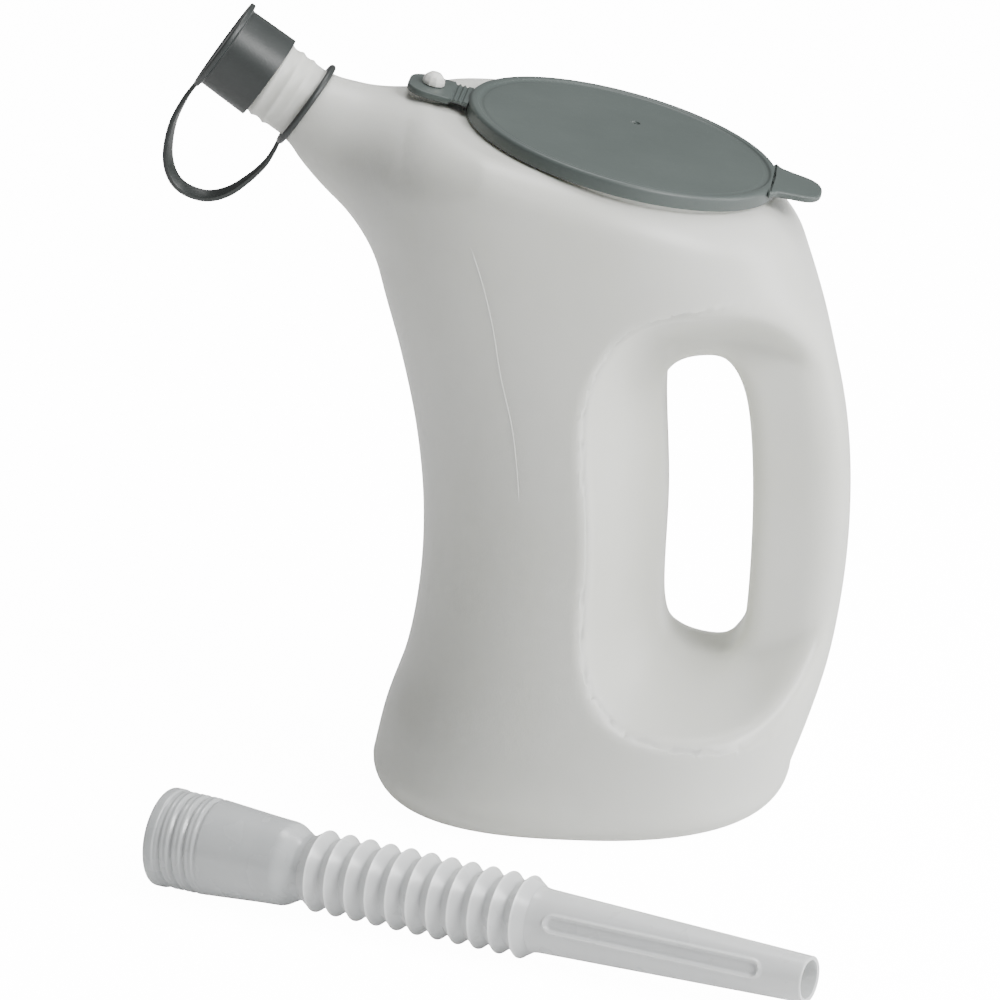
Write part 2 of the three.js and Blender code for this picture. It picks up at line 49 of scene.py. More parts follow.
# ---------------------------------------------------------------- dimensions, millimetres
TILT = math.radians(14.7)
LID_ORIGIN = np.array([11.3, 0.0, 209.6])
RING = np.array([-86.3, 0.0, 221.9])
NECK_RISE = math.radians(36)
SPOUT_START = np.array([-118.3, -96.5, 15.45])
SPOUT_YAW = math.radians(-21.4)
SPOUT_DIP = math.radians(1.26)
WALL = 1.8
FILLET = 12.0
FRONT_FILLET = 24.0
BODY_ROUNDNESS = 2.35
GRIP = 15.0
DISH_RISE, DISH_REACH, DISH_POWER = 43.0, 21.0, 1.75
OPENING_RADIUS = 44.4
COLLAR_RADIUS, COLLAR_TOP = 47.1, 3.1
STUD_AT = (-61.2, 0, 0)
GATE_AT = (2, 18.5, 0)
NECK_RADIUS, NECK_BORE, NECK_LENGTH = 12.0, 10.1, 29.0
THREAD_HEIGHT, THREAD_WIDTH, THREAD_PITCH, THREAD_START = 0.56, 0.95, 4.2, 5.5
RING_RADIUS, RING_SECTION = 13.85, 1.05
STRAP_HALF_WIDTH, STRAP_CORNER, STRAP_TWIST = 2.05, 0.38, math.radians(34)
BELLOWS = (50.7, 127.8)
BELLOWS_END_RADIUS, BELLOWS_END_BORE = 10.1, 9.2
FIRST_RIDGE, PITCH, RIDGES = 54.5, 6.95, 11
NOZZLE_TIP, NOZZLE_ROOT_RADIUS, NOZZLE_TIP_RADIUS, NOZZLE_WALL = 216.5, 9.75, 7.05, 1.25
NOZZLE_COLLAR = 2.0
NOZZLE_TAPER = (NOZZLE_ROOT_RADIUS - NOZZLE_TIP_RADIUS) / (NOZZLE_TIP - BELLOWS[1] - NOZZLE_COLLAR)
FLUTE_FACING, FLUTE_HALF_WIDTH = math.radians(248), 2.2

# front wall, back wall and half width of the jug against height
FRONT = [(12, -66), (27, -62.4), (47, -55.4), (67, -51.4), (94, -49.6), (121, -51.6), (148, -56.8),
         (168, -62), (186, -66), (205, -68), (240, -68)]
BACK = [(12, 67), (27, 72.4), (47, 78.4), (67, 82), (97, 84.2), (125, 82.8), (148, 78.6), (168, 73.2),
        (188, 66.8), (206, 61), (240, 54)]
HALF = [(12, 58.5), (27, 58), (47, 57), (67, 56.2), (94, 55.8), (130, 55.6), (168, 55.6), (240, 55.6)]
# finger hole and the rim of the dished sides, as x, z outlines
HOLE = [(25.8, 62), (26.8, 100), (25.9, 134), (28.6, 143.6), (37, 147.4), (46.5, 145.6), (52.4, 131),
        (54.2, 100), (52.6, 64), (49, 53), (41.6, 48.6), (31.6, 51)]
DISH = [(5.4, 62), (6.2, 100), (5.4, 142), (18, 167), (43, 174), (68, 170), (96, 148), (104, 100),
        (94, 55), (66, 34), (42, 31.5), (16, 40.5)]


# ---------------------------------------------------------------- frames
def frame_matrix(origin, x_axis, z_axis):
    z = np.array(z_axis, float)
    x = np.array(x_axis, float)
    y = np.cross(z, x)
    m = np.eye(4)
    m[:3, 0], m[:3, 1], m[:3, 2], m[:3, 3] = x, y, z, origin
    return m


LID = frame_matrix(LID_ORIGIN, (math.cos(TILT), 0, -math.sin(TILT)), (math.sin(TILT), 0, math.cos(TILT)))
NECK = frame_matrix(RING, (math.sin(NECK_RISE), 0, math.cos(NECK_RISE)),
                    (-math.cos(NECK_RISE), 0, math.sin(NECK_RISE)))
SPOUT_AXIS = np.array([math.cos(SPOUT_YAW) * math.cos(SPOUT_DIP), math.sin(SPOUT_YAW) * math.cos(SPOUT_DIP),
                       -math.sin(SPOUT_DIP)])
SPOUT_SIDE = np.array([-math.sin(SPOUT_YAW), math.cos(SPOUT_YAW), 0.0])
SPOUT = frame_matrix(SPOUT_START, np.cross(SPOUT_SIDE, SPOUT_AXIS), SPOUT_AXIS)


def place(points, matrix):
    """From a frame's own millimetres to the part's."""
    points = np.asarray(points, float)
    return points @ matrix[:3, :3].T + matrix[:3, 3]


def local(points, matrix):
    """From the part's millimetres to a frame's own."""
    return (points - matrix[:3, 3]) @ matrix[:3, :3]


# ---------------------------------------------------------------- smooth tables and outlines
def smooth_table(points):
    """A smooth curve through (place, value) points, held level past its ends."""
    at = np.array([p[0] for p in points], float)
    value = np.array([p[1] for p in points], float)
    slope = np.gradient(value, at)

    def sample(level):
        level = np.clip(level, at[0], at[-1])
        i = np.clip(np.searchsorted(at, level, side="right") - 1, 0, len(at) - 2)
        step = at[i + 1] - at[i]
        t = (level - at[i]) / step
        a, b = value[i], value[i + 1]
        ma, mb = slope[i] * step, slope[i + 1] * step
        return ((2 * t**3 - 3 * t**2 + 1) * a + (t**3 - 2 * t**2 + t) * ma
                + (-2 * t**3 + 3 * t**2) * b + (t**3 - t**2) * mb)

    return sample


def between(a, b, c, d, t):
    """Point at t on the smooth curve from b to c, with a and d as their neighbours."""
    return 0.5 * ((2 * b) + (c - a) * t + (2 * a - 5 * b + 4 * c - d) * t * t
                  + (3 * b - a - 3 * c + d) * t**3)


def closed_curve(points, count):
    p = np.array(points, float)
    n = len(p)
    out = []
    for k in range(count):
        u = k * n / count
        i = int(u)
        out.append(between(p[(i - 1) % n], p[i % n], p[(i + 1) % n], p[(i + 2) % n], u - i))
    return np.array(out)


def open_curve(points, count):
    p = np.array(points, float)
    p = np.vstack([2 * p[0] - p[1], p, 2 * p[-1] - p[-2]])
    n = len(p) - 3
    out = []
    for k in range(count):
        u = min(k * n / (count - 1), n - 1e-9)
        i = int(u)
        out.append(between(p[i], p[i + 1], p[i + 2], p[i + 3], u - i))
    return np.array(out)


class Outline:
    """Signed distance to a closed outline in the x, z plane, negative inside, sampled on a fine grid."""

    def __init__(self, points, step=1.0):
        curve = closed_curve(points, 120)
        self.low = np.array([-100.0, -10.0])
        self.step = step
        xs = np.arange(-100, 125, step)
        zs = np.arange(-10, 245, step)
        gx, gz = np.meshgrid(xs, zs, indexing="ij")
        best = np.full(gx.shape, 1e9)
        inside = np.zeros(gx.shape, bool)
        for k in range(len(curve)):
            a, b = curve[k], curve[(k + 1) % len(curve)]
            e = b - a
            t = np.clip(((gx - a[0]) * e[0] + (gz - a[1]) * e[1]) / (e @ e), 0, 1)
            best = np.minimum(best, np.hypot(gx - a[0] - t * e[0], gz - a[1] - t * e[1]))
            crosses = (a[1] > gz) != (b[1] > gz)
            edge_x = a[0] + (gz - a[1]) * e[0] / (e[1] if abs(e[1]) > 1e-9 else 1e-9)
            inside ^= crosses & (gx < edge_x)
        self.grid = np.where(inside, -best, best)

    def __call__(self, x, z):
        u = np.clip((x - self.low[0]) / self.step, 0, self.grid.shape[0] - 1.001)
        v = np.clip((z - self.low[1]) / self.step, 0, self.grid.shape[1] - 1.001)
        i, j = u.astype(int), v.astype(int)
        s, t = u - i, v - j
        g = self.grid
        return ((1 - s) * (1 - t) * g[i, j] + s * (1 - t) * g[i + 1, j]
                + (1 - s) * t * g[i, j + 1] + s * t * g[i + 1, j + 1])


front_of, back_of, half_of = smooth_table(FRONT), smooth_table(BACK), smooth_table(HALF)
hole_of, dish_of = Outline(HOLE), Outline(DISH)
# the flare below the neck: how far it reaches up, down and to each side, against the place along the neck
neck_up = smooth_table([(-60, 24), (-34, 21.3), (-17.6, 18.4), (-9.2, 15.4), (-4, 13.3), (-1, 12.5),
                        (4, 12.3)])
neck_down = smooth_table([(-60, 16.5), (-50, 17.4), (-32, 18.2), (-16, 16.6), (-8, 14.6), (-3, 12.8),
                          (4, 12.3)])
neck_half = smooth_table([(-60, 37), (-42, 32), (-25, 23), (-12.6, 16.4), (-5, 13.5), (-1, 12.5),
                          (4, 12.3)])


# ---------------------------------------------------------------- the jug as a field, negative inside
def smooth_max(a, b, k):
    h = np.maximum(k - np.abs(a - b), 0) / k
    return np.maximum(a, b) + h * h * k * 0.25


def smooth_min(a, b, k):
    return -smooth_max(-a, -b, k)


def round_corner(a, b, radius):
    """Both a and b negative, their common edge rounded; the radius may differ from point to point."""
    u, v = a + radius, b + radius
    return np.minimum(np.maximum(u, v), 0) + np.hypot(np.maximum(u, 0), np.maximum(v, 0)) - radius


def jug_field(p):
    x, y, z = p[:, 0], p[:, 1], p[:, 2]
    return with_grip(with_flare(closed_body(x, y, z, local(p, LID)[:, 2]), local(p, NECK)), x, y, z)


def closed_body(x, y, z, above_lid):
    """Rounded oval tube between the base and the tilted shoulder."""
    front, back, width = front_of(z), back_of(z), half_of(z)
    dx, half = x - (front + back) / 2, (back - front) / 2
    n = BODY_ROUNDNESS
    scale = ((np.abs(dx) / half) ** n + (np.abs(y) / width) ** n) ** (1 / n) + 1e-6
    side = (np.hypot(dx, y) + 1e-6) * (1 - 1 / scale)
    fillet = FILLET + (FRONT_FILLET - FILLET) * np.clip((-26 - x) / 26, 0, 1)
    return round_corner(round_corner(side, above_lid, fillet), -z, FILLET)


def with_flare(body, on_neck):
    """Blends the oval flare into the body and ends it just past the neck's ring plane."""
    along = on_neck[:, 2]
    up, down, width = neck_up(along), neck_down(along), neck_half(along)
    across = on_neck[:, 0] - (up - down) / 2
    scale = np.hypot(across / ((up + down) / 2), on_neck[:, 1] / width) + 1e-6
    flare = (np.hypot(across, on_neck[:, 1]) + 1e-6) * (1 - 1 / scale)
    flare = np.maximum(flare, -along - 46)
    return np.maximum(smooth_min(body, flare, 10), along - 0.4)


def with_grip(body, x, y, z):
    """Cuts the dished sides and the finger hole."""
    g = dish_of(x, z)
    depth = np.clip(-g / DISH_REACH, 0, 1)
    wall = GRIP + DISH_RISE * (1 - depth) ** DISH_POWER + np.maximum(g, 0) * 2.2
    steepness = DISH_RISE * DISH_POWER * (1 - depth) ** (DISH_POWER - 1) / DISH_REACH
    slope = np.where((g < 0) & (g > -DISH_REACH), steepness, 0)
    cut = (wall - np.abs(y)) / np.sqrt(1 + slope * slope)
    soft = 7.5 + 4 * np.clip((x - 52) / 22, 0, 1)
    return smooth_max(smooth_max(body, -cut, soft), -hole_of(x, z), 7)


def surface_nets(field, low, high, step):
    """Quads round the zero surface of a field, one point in each grid cell that it crosses."""
    axes = [np.arange(low[i], high[i] + step, step) for i in range(3)]
    nx, ny, nz = (len(a) for a in axes)
    gx, gy, gz = np.meshgrid(*axes, indexing="ij")
    s = field(np.stack([gx.ravel(), gy.ravel(), gz.ravel()], 1)).reshape(nx, ny, nz)
    inside = s < 0
    count = sum(inside[i:nx - 1 + i, j:ny - 1 + j, k:nz - 1 + k].astype(np.int8)
                for i in (0, 1) for j in (0, 1) for k in (0, 1))
    active = (count > 0) & (count < 8)
    ci, cj, ck = np.nonzero(active)
    index = np.full(active.shape, -1, np.int64)
    index[ci, cj, ck] = np.arange(len(ci))
    total = np.zeros((len(ci), 3))
    hits = np.zeros(len(ci))
    for axis in range(3):
        for u in (0, 1):
            for v in (0, 1):
                a = [0, 0, 0]
                others = [o for o in range(3) if o != axis]
                a[others[0]], a[others[1]] = u, v
                b = list(a)
                b[axis] = 1
                sa = s[ci + a[0], cj + a[1], ck + a[2]]
                sb = s[ci + b[0], cj + b[1], ck + b[2]]
                cross = (sa < 0) != (sb < 0)
                t = np.where(cross, sa / np.where(cross, sa - sb, 1), 0)
                point = np.tile(np.array(a, float), (len(ci), 1))
                point[:, axis] = t
                total += point * cross[:, None]
                hits += cross
    verts = np.stack([ci, cj, ck], 1) + total / hits[:, None]
    verts = np.array(low, float) + verts * step
    quads = []
    for axis in range(3):
        o1, o2 = [o for o in range(3) if o != axis]
        lo = [slice(None)] * 3
        hi = [slice(None)] * 3
        lo[axis], hi[axis] = slice(0, -1), slice(1, None)
        first, second = inside[tuple(lo)], inside[tuple(hi)]
        change = first != second
        e = np.array(np.nonzero(change)).T
        keep = (e[:, o1] > 0) & (e[:, o1] < s.shape[o1] - 1) & (e[:, o2] > 0) & (e[:, o2] < s.shape[o2] - 1)
        e = e[keep]
        ring = []
        for u, v in ((-1, -1), (0, -1), (0, 0), (-1, 0)):
            c = e.copy()
            c[:, o1] += u
            c[:, o2] += v
            ring.append(index[c[:, 0], c[:, 1], c[:, 2]])
        q = np.stack(ring, 1)
        outward = first[e[:, 0], e[:, 1], e[:, 2]]
        if axis == 1:
            outward = ~outward
        q = np.where(outward[:, None], q, q[:, ::-1])
        quads.append(q)
    return verts, np.concatenate(quads)


def gradient(field, p):
    h = 0.05
    out = np.empty_like(p)
    for axis in range(3):
        d = np.zeros(3)
        d[axis] = h
        out[:, axis] = (field(p + d) - field(p - d)) / (2 * h)
    return out


def polish(field, verts, quads, rounds=4):
    """Spreads the points evenly and lays them on the field's zero surface."""
    pairs = np.concatenate([quads[:, [0, 1]], quads[:, [1, 2]], quads[:, [2, 3]], quads[:, [3, 0]]])
    for step in range(rounds):
        total = np.zeros_like(verts)
        hits = np.zeros(len(verts))
        for a, b in ((0, 1), (1, 0)):
            np.add.at(total, pairs[:, a], verts[pairs[:, b]])
            np.add.at(hits, pairs[:, a], 1)
        if step < rounds - 1:
            verts = verts + 0.6 * (total / hits[:, None] - verts)
        for _ in range(2):
            g = gradient(field, verts)
            length2 = np.maximum((g * g).sum(1), 0.05)
            move = -field(verts)[:, None] * g / length2[:, None]
            size = np.linalg.norm(move, axis=1, keepdims=True)
            verts = verts + move * np.minimum(1, 1.0 / np.maximum(size, 1e-9))
    return verts


# ---------------------------------------------------------------- meshes
def make_object(name, verts, faces, material=None):
    mesh = bpy.data.meshes.new(name)
    mesh.from_pydata((np.asarray(verts, float) * MM).tolist(), [], [list(map(int, f)) for f in faces])
    mesh.validate()
    obj = bpy.data.objects.new(name, mesh)
    bpy.context.scene.collection.objects.link(obj)
    mesh.polygons.foreach_set("use_smooth", [True] * len(mesh.polygons))
    if material:
        mesh.materials.append(material)
    return obj


def rounded(points, radius_at=0.6, steps=4):
    """A profile polyline with its corners rounded. Points are [r, z] or [r, z, radius]."""
    out = []
    n = len(points)
    for i, p in enumerate(points):
        radius = p[2] if len(p) > 2 else radius_at
        a, b, c = (np.array(points[(i - 1) % n][:2], float), np.array(p[:2], float),
                   np.array(points[(i + 1) % n][:2], float))
        if radius <= 0 or p[0] == 0:
            out.append(b)
            continue
        u, v = a - b, c - b
        lu, lv = np.linalg.norm(u), np.linalg.norm(v)
        u, v = u / lu, v / lv
        reach = min(radius, 0.45 * lu, 0.45 * lv)
        for k in range(steps + 1):
            t = k / steps
            out.append((1 - t) ** 2 * (b + u * reach) + 2 * t * (1 - t) * b + t**2 * (b + v * reach))
    return np.array(out)


def revolve(profile, segments, warp=None):
    """Closed body from a profile of (r, z). A profile that starts and ends on the axis is capped there,
    and any other closes on itself. warp(r, z, angle) may return a new r."""
    profile = np.asarray(profile, float)
    on_axis = abs(profile[0][0]) < 1e-9 and abs(profile[-1][0]) < 1e-9
    ring_rows = profile[1:-1] if on_axis else profile
    angle = np.linspace(0, 2 * np.pi, segments, endpoint=False)
    verts = []
    for r, z in ring_rows:
        rr = np.full(segments, r) if warp is None else warp(np.full(segments, r), np.full(segments, z), angle)
        verts.append(np.stack([rr * np.cos(angle), rr * np.sin(angle), np.full(segments, z)], 1))
    verts = np.concatenate(verts)
    rows = len(ring_rows)
    faces = []
    for i in range(rows if not on_axis else rows - 1):
        j = (i + 1) % rows
        for k in range(segments):
            m = (k + 1) % segments
            faces.append((i * segments + k, i * segments + m, j * segments + m, j * segments + k))
    if on_axis:
        first, last = len(verts), len(verts) + 1
        verts = np.concatenate([verts, [[0, 0, profile[0][1]], [0, 0, profile[-1][1]]]])
        for k in range(segments):
            m = (k + 1) % segments
            faces.append((first, m, k))
            faces.append((last, (rows - 1) * segments + k, (rows - 1) * segments + m))
    return verts, faces


def sweep(rings):
    """Closed body through rings of points with equal counts, capped at both ends."""
    count = len(rings[0])
    verts = np.concatenate(rings)
    faces = []
    for i in range(len(rings) - 1):
        j = i + 1
        for k in range(count):
            m = (k + 1) % count
            faces.append((i * count + k, i * count + m, j * count + m, j * count + k))
    faces.append(tuple(range(count))[::-1])
    faces.append(tuple((len(rings) - 1) * count + k for k in range(count)))
    return verts, faces


def offset_outline(curve, amount):
    tangent = np.roll(curve, -1, 0) - np.roll(curve, 1, 0)
    tangent /= np.linalg.norm(tangent, axis=1, keepdims=True)
    normal = np.stack([tangent[:, 1], -tangent[:, 0]], 1)
    return curve + amount * normal


def plate(curve, low, high, radius, steps=3):
    """Flat plate with rounded edges from a counterclockwise outline."""
    rings = []
    for lower in (True, False):
        for k in range(steps + 1):
            a = math.pi / 2 * (k / steps)
            if lower:
                inset, z = radius * (1 - math.sin(a)), low + radius * (1 - math.cos(a))
            else:
                inset, z = radius * (1 - math.cos(a)), high - radius * (1 - math.sin(a))
            c = offset_outline(curve, -inset)
            rings.append(np.column_stack([c, np.full(len(c), z)]))
    return sweep(rings)


def outward(obj):
    """Makes the faces of a closed mesh point out."""
    bm = bmesh.new()
    bm.from_mesh(obj.data)
    bmesh.ops.recalc_face_normals(bm, faces=bm.faces[:])
    if bm.calc_volume(signed=True) < 0:
        bmesh.ops.reverse_faces(bm, faces=bm.faces[:])
    bm.to_mesh(obj.data)
    bm.free()
    return obj


def boolean(target, tools, operation):
    for tool in tools:
        modifier = target.modifiers.new("b", "BOOLEAN")
        modifier.operation = operation
        modifier.solver = "MANIFOLD"
        modifier.object = tool
        bpy.context.view_layer.update()
        evaluated = target.evaluated_get(bpy.context.evaluated_depsgraph_get())
        mesh = bpy.data.meshes.new_from_object(evaluated)
        target.modifiers.clear()
        old = target.data
        target.data = mesh
        bpy.data.meshes.remove(old)
        data = tool.data
        bpy.data.objects.remove(tool)
        bpy.data.meshes.remove(data)
    return target


def sharpen(obj, degrees):
    """Smooth shading with crisp edges above an angle."""
    mesh = obj.data
    mesh.polygons.foreach_set("use_smooth", [True] * len(mesh.polygons))
    mesh.set_sharp_from_angle(angle=math.radians(degrees))


# ---------------------------------------------------------------- materials
def noise(nodes, links, where, scale, detail):
    node = nodes.new("ShaderNodeTexNoise")
    node.inputs["Scale"].default_value = scale
    node.inputs["Detail"].default_value = detail
    links.new(where.outputs["Object"], node.inputs["Vector"])
    return node.outputs["Fac"]


def colour_ramp(nodes, links, value, stops):
    node = nodes.new("ShaderNodeValToRGB")
    for element, (position, colour) in zip(node.color_ramp.elements, stops):
        element.position = position
        element.color = (*colour, 1)
    links.new(value, node.inputs["Fac"])
    return node.outputs["Color"]


def mixed(nodes, links, factor, first, second):
    """Mix of two colours. The factor and the second colour are sockets or plain values."""
    node = nodes.new("ShaderNodeMix")
    node.data_type = "RGBA"
    links.new(first, node.inputs["A"])
    for name, value in (("Factor", factor), ("B", second)):
        if isinstance(value, bpy.types.NodeSocket):
            links.new(value, node.inputs[name])
        else:
            node.inputs[name].default_value = value
    return node.outputs["Result"]


def plastic(name, dark, light, roughness, scale, bump, subsurface=0.0, radius=0.004, coat=0.0, grime=0.0):
    """Moulded polyethylene: two close shades in soft clouds, uneven gloss and a fine moulded grain."""
    m = bpy.data.materials.new(name)
    m.use_nodes = True
    nodes, links = m.node_tree.nodes, m.node_tree.links
    bsdf = nodes["Principled BSDF"]
    where = nodes.new("ShaderNodeTexCoord")
    clouds = noise(nodes, links, where, scale, 4)
    colour = colour_ramp(nodes, links, clouds, ((0.3, dark), (0.72, light)))
    if grime:
        specks = noise(nodes, links, where, 420, 5)
        amount = colour_ramp(nodes, links, specks, ((0.62, (0, 0, 0)), (0.78, (grime, grime, grime))))
        colour = mixed(nodes, links, amount, colour, (*[c * 0.72 for c in dark], 1))
    links.new(colour, bsdf.inputs["Base Color"])
    gloss = nodes.new("ShaderNodeMapRange")
    gloss.inputs["To Min"].default_value = roughness - 0.06
    gloss.inputs["To Max"].default_value = roughness + 0.08
    links.new(noise(nodes, links, where, scale * 3.1, 3), gloss.inputs["Value"])
    links.new(gloss.outputs["Result"], bsdf.inputs["Roughness"])
    lift = nodes.new("ShaderNodeBump")
    lift.inputs["Strength"].default_value = bump
    lift.inputs["Distance"].default_value = 0.0002
    links.new(noise(nodes, links, where, 1400, 2), lift.inputs["Height"])
    links.new(lift.outputs["Normal"], bsdf.inputs["Normal"])
    bsdf.inputs["Subsurface Weight"].default_value = subsurface
    bsdf.inputs["Subsurface Radius"].default_value = (1.0, 0.98, 0.9)
    bsdf.inputs["Subsurface Scale"].default_value = radius
    bsdf.inputs["Coat Weight"].default_value = coat
    bsdf.inputs["Coat Roughness"].default_value = 0.2
    return m


def vector_math(nodes, links, operation, first, second):
    node = nodes.new("ShaderNodeVectorMath")
    node.operation = operation
    links.new(first, node.inputs[0])
    if second is not None:
        node.inputs[1].default_value = tuple(second)
    return node.outputs["Value" if operation in ("LENGTH", "DOT_PRODUCT") else "Vector"]


def painted_crest_highlights(m, low, high, dark, light, taper=0.0):
    """Painted highlights and painted shade by distance from the spout's axis: the crests are painted lighter,
    as highlights, and the folds between them darker, as shade.
    With a taper, the distance is counted from a wall that narrows by that much per length."""
    nodes, links = m.node_tree.nodes, m.node_tree.links
    cloud = next(n for n in nodes if n.type == "VALTORGB")
    where = nodes.new("ShaderNodeTexCoord")
    offset = vector_math(nodes, links, "SUBTRACT", where.outputs["Object"], SPOUT_START * MM)
    across = vector_math(nodes, links, "CROSS_PRODUCT", offset, SPOUT_AXIS)
    distance = vector_math(nodes, links, "LENGTH", across, None)
    total = nodes.new("ShaderNodeMath")
    total.operation = "MULTIPLY_ADD"
    total.inputs[1].default_value = taper
    links.new(vector_math(nodes, links, "DOT_PRODUCT", offset, SPOUT_AXIS), total.inputs[0])
    links.new(distance, total.inputs[2])
    spread = nodes.new("ShaderNodeMapRange")
    spread.inputs["From Min"].default_value = low * MM
    spread.inputs["From Max"].default_value = high * MM
    links.new(total.outputs["Value"], spread.inputs["Value"])
    shade = colour_ramp(nodes, links, spread.outputs["Result"], ((0, dark), (1, light)))
    middle = shade.node.color_ramp.elements.new(0.8)
    middle.color = (*[d * 0.8 + w * 0.2 for d, w in zip(dark, light)], 1)
    clouded = mixed(nodes, links, 0.25, shade, cloud.outputs["Color"])
    links.new(clouded, nodes["Principled BSDF"].inputs["Base Color"])
    return m


NATURAL = plastic("natural_polyethylene", (0.665, 0.670, 0.610), (0.725, 0.730, 0.685), 0.38, scale=14,
                  subsurface=0.5, radius=0.006, bump=0.05, coat=0.05)
GREY = plastic("grey_polyethylene", (0.056, 0.070, 0.066), (0.070, 0.086, 0.081), 0.44, scale=26,
               bump=0.16, grime=0.2)
DARK = plastic("dark_polyethylene", (0.022, 0.026, 0.025), (0.032, 0.037, 0.036), 0.42, scale=30,
               bump=0.14, grime=0.2)
CLEAR = plastic("clear_polyethylene", (0.485, 0.505, 0.51), (0.56, 0.575, 0.58), 0.26, scale=30,
                subsurface=0.3, radius=0.002, bump=0.04, coat=0.5)
# bellows and nozzle: painted highlights on the crests and on the flute's rim, painted shade in the folds and
# in the flute's groove
RIBBED = painted_crest_highlights(plastic("ribbed_polyethylene_painted_crests", (0.56, 0.575, 0.58), (0.64, 0.655, 0.66), 0.28, scale=30,
                              subsurface=0.3, radius=0.002, bump=0.04, coat=0.4),
                      9.8, 12.6, (0.66, 0.675, 0.675), (0.97, 0.975, 0.97))
FLUTED = painted_crest_highlights(plastic("fluted_polyethylene_painted_rim", (0.58, 0.595, 0.60), (0.66, 0.675, 0.68), 0.28, scale=30,
                              subsurface=0.3, radius=0.002, bump=0.04, coat=0.4),
                      13.15, 14.3, (0.70, 0.715, 0.715), (0.97, 0.975, 0.97), taper=NOZZLE_TAPER)
# the scale line's plastic is a lighter copy of the jug's: a painted highlight, so the raised line shows
# bright
RAISED_LINE_HIGHLIGHT = plastic("raised_line_painted_highlight", (0.735, 0.735, 0.70), (0.78, 0.78, 0.75), 0.40, scale=14,
                 bump=0.05)
WHITE = plastic("white_polyethylene", (0.74, 0.74, 0.70), (0.84, 0.84, 0.81), 0.28, scale=60,
                subsurface=0.4, radius=0.002, bump=0.05, coat=0.3)


def one_material(obj, material):
    """Booleans leave empty slots behind, so the material is set again."""
    obj.data.materials.clear()
    obj.data.materials.append(material)


def finish_piece(obj, body, nodes=()):
    outward(obj)
    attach(obj, body)
    if nodes:
        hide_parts(*nodes)
    return obj


# ---------------------------------------------------------------- jug
JUG_LOW, JUG_HIGH = (-100, -64, -4), (90, 64, 238)


def turned(name, profile, segments, frame_of, at=(0, 0, 0), material=None, warp=None):
    """Body turned about the axis of a frame, shifted by at within it, its faces pointing out."""
    verts, faces = revolve(profile, segments, warp)
    return outward(make_object(name, place(verts + np.array(at, float), frame_of), faces, material))


def jug_cavity(p):
    t = local(p, NECK)
    mouth = np.maximum(np.hypot(t[:, 0], t[:, 1]) - NECK_BORE, -t[:, 2] - 20)
    return smooth_min(jug_field(p) + WALL, np.maximum(mouth, t[:, 2] - 3), 2)


def solid_of(name, field, step, rounds, material=None):
    verts, quads = surface_nets(field, JUG_LOW, JUG_HIGH, step)
    verts = polish(field, verts, quads, rounds)
    verts[:, 2] = np.maximum(verts[:, 2], 0)
    return outward(make_object(name, verts, quads, material))


def neck_thread(r, z, angle):
    """Adds a rounded helical ridge that fades in and out at its ends."""
    turn = (z - THREAD_START) / THREAD_PITCH
    phase = (turn - angle / (2 * np.pi)) % 1.0
    away = np.minimum(phase, 1 - phase) * THREAD_PITCH
    fade = np.clip((z - 4.2) / 2.2, 0, 1) * np.clip((18.6 - z) / 2.2, 0, 1)
    return r + THREAD_HEIGHT * fade * np.exp(-(away / THREAD_WIDTH) ** 2)


def make_jug():
    jug = solid_of("jug_body_shell", jug_field, 1.7, 4, NATURAL)
    hollow = solid_of("hollow", jug_cavity, 2.4, 3)
    collar = rounded([[0, -6, 0], [COLLAR_RADIUS, -6, 0], [COLLAR_RADIUS, -0.4, 1.2],
                      [COLLAR_RADIUS, COLLAR_TOP, 1.0], [0, COLLAR_TOP, 0]])
    seat = rounded([[0, -6, 0], [6.6, -6, 0], [6.6, -0.3, 0], [6.0, 1.9, 0.6], [0, 1.9, 0]])
    tube = [[0, -9], [NECK_RADIUS, -9]] + [[NECK_RADIUS, z] for z in np.arange(3.4, 19.6, 0.3)]
    tube += [[NECK_RADIUS, 27.6], [11.8, 28.6], [11.3, NECK_LENGTH], [0, NECK_LENGTH]]
    bore = [[0, -14], [NECK_BORE, -14], [NECK_BORE, 28.2], [10.5, 29.1], [10.5, 33], [0, 33]]
    opening = [[0, -12], [OPENING_RADIUS, -12], [OPENING_RADIUS, 2.6], [44.9, 3.2], [44.9, 9], [0, 9]]
    stud_hole = [[0, -12], [2.3, -12], [2.3, 9], [0, 9]]
    boolean(jug, [turned("collar", collar, 180, LID), turned("seat", seat, 48, LID, STUD_AT),
                  turned("neck", tube, 120, NECK, warp=neck_thread)], "UNION")
    boolean(jug, [hollow, turned("bore", bore, 96, NECK), turned("opening", opening, 180, LID),
                  turned("stud_hole", stud_hole, 32, LID, STUD_AT)], "DIFFERENCE")
    one_material(jug, NATURAL)
    sharpen(jug, 40)
    return finish_piece(jug, "jug", ["jug_body", "jug_neck"])


def on_side(x, z):
    """The y of the jug's near side at x, z."""
    x, z = np.asarray(x, float), np.asarray(z, float)
    near, far = np.full(x.shape, -70.0), np.full(x.shape, 0.0)
    for _ in range(40):
        mid = (near + far) / 2
        inside = jug_field(np.stack([x, mid, z], 1)) < 0
        far = np.where(inside, mid, far)
        near = np.where(inside, near, mid)
    return near


